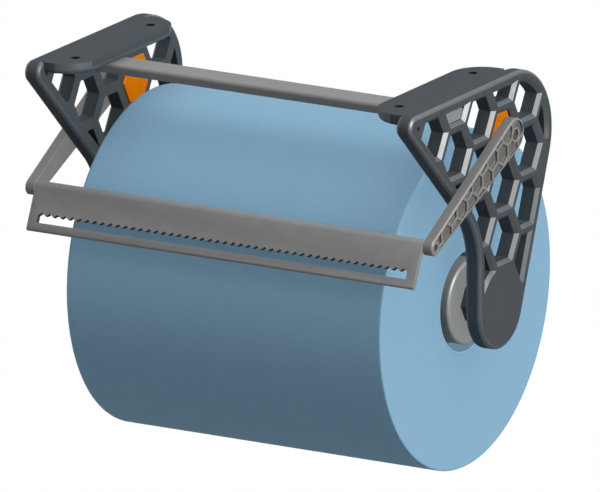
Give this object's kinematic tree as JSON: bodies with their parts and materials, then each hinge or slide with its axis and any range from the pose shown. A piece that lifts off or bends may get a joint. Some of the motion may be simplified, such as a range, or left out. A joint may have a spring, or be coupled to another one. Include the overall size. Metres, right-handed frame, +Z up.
{
  "type": "paper roll holder",
  "caption": "Under-shelf paper roll holder: honeycomb side brackets with hubs, a crossbar, a loaded blue roll and a toothed tear bar on swing arms.",
  "frame": {"origin": "centre of the four screw holes, on the flat top face that meets the shelf", "axes": "+X along the roll's axis to the right arm, +Y away from the tear bar to the back, +Z up to the shelf"},
  "size_m": [0.2592, 0.1966, 0.225],
  "materials": {
    "dark_plastic": "satin printed plastic, dark slate grey",
    "grey_plastic": "satin printed plastic, mid grey",
    "orange_plastic": "satin printed plastic, orange",
    "insert_brass": "machined",
    "spacer_aluminium": "machined",
    "screw_steel": "plated",
    "core_card": "plain card, dyed as the paper",
    "blue_paper": "soft matt paper, light blue"
  },
  "bodies": {
    "frame": {"left_bracket": "dark_plastic", "right_bracket": "dark_plastic", "crossbar": "grey_plastic", "left_pivot_plug": "orange_plastic", "right_pivot_plug": "orange_plastic", "pivot_inserts": "insert_brass", "pivot_spacers": "spacer_aluminium", "pivot_screws": "screw_steel", "left_hub": "grey_plastic", "right_hub": "grey_plastic", "hub_inserts": "insert_brass", "hub_washers": "screw_steel", "hub_screws": "screw_steel"},
    "roll": {"left_core_ring": "dark_plastic", "right_core_ring": "dark_plastic", "core_tube": "core_card", "paper_roll": "blue_paper"},
    "arms": {"left_arm": "grey_plastic", "right_arm": "grey_plastic"},
    "tear_bar": {"cutter": "grey_plastic", "cutter_screws": "screw_steel"}
  },
  "joints": [
    {"name": "roll_spin", "type": "hinge", "parent": "frame", "child": "roll", "pos_m": [0, 0.0386, -0.13], "axis": [1, 0, 0], "continuous": true},
    {"name": "arm_swing", "type": "hinge", "parent": "frame", "child": "arms", "pos_m": [0, 0.0418, -0.0319], "axis": [1, 0, 0], "range_deg": [-30, 0]},
    {"name": "cutter_tilt", "type": "hinge", "parent": "arms", "child": "tear_bar", "pos_m": [0, -0.04651, -0.07554], "axis": [1, 0, 0], "range_deg": [-60, 12]}
  ]
}
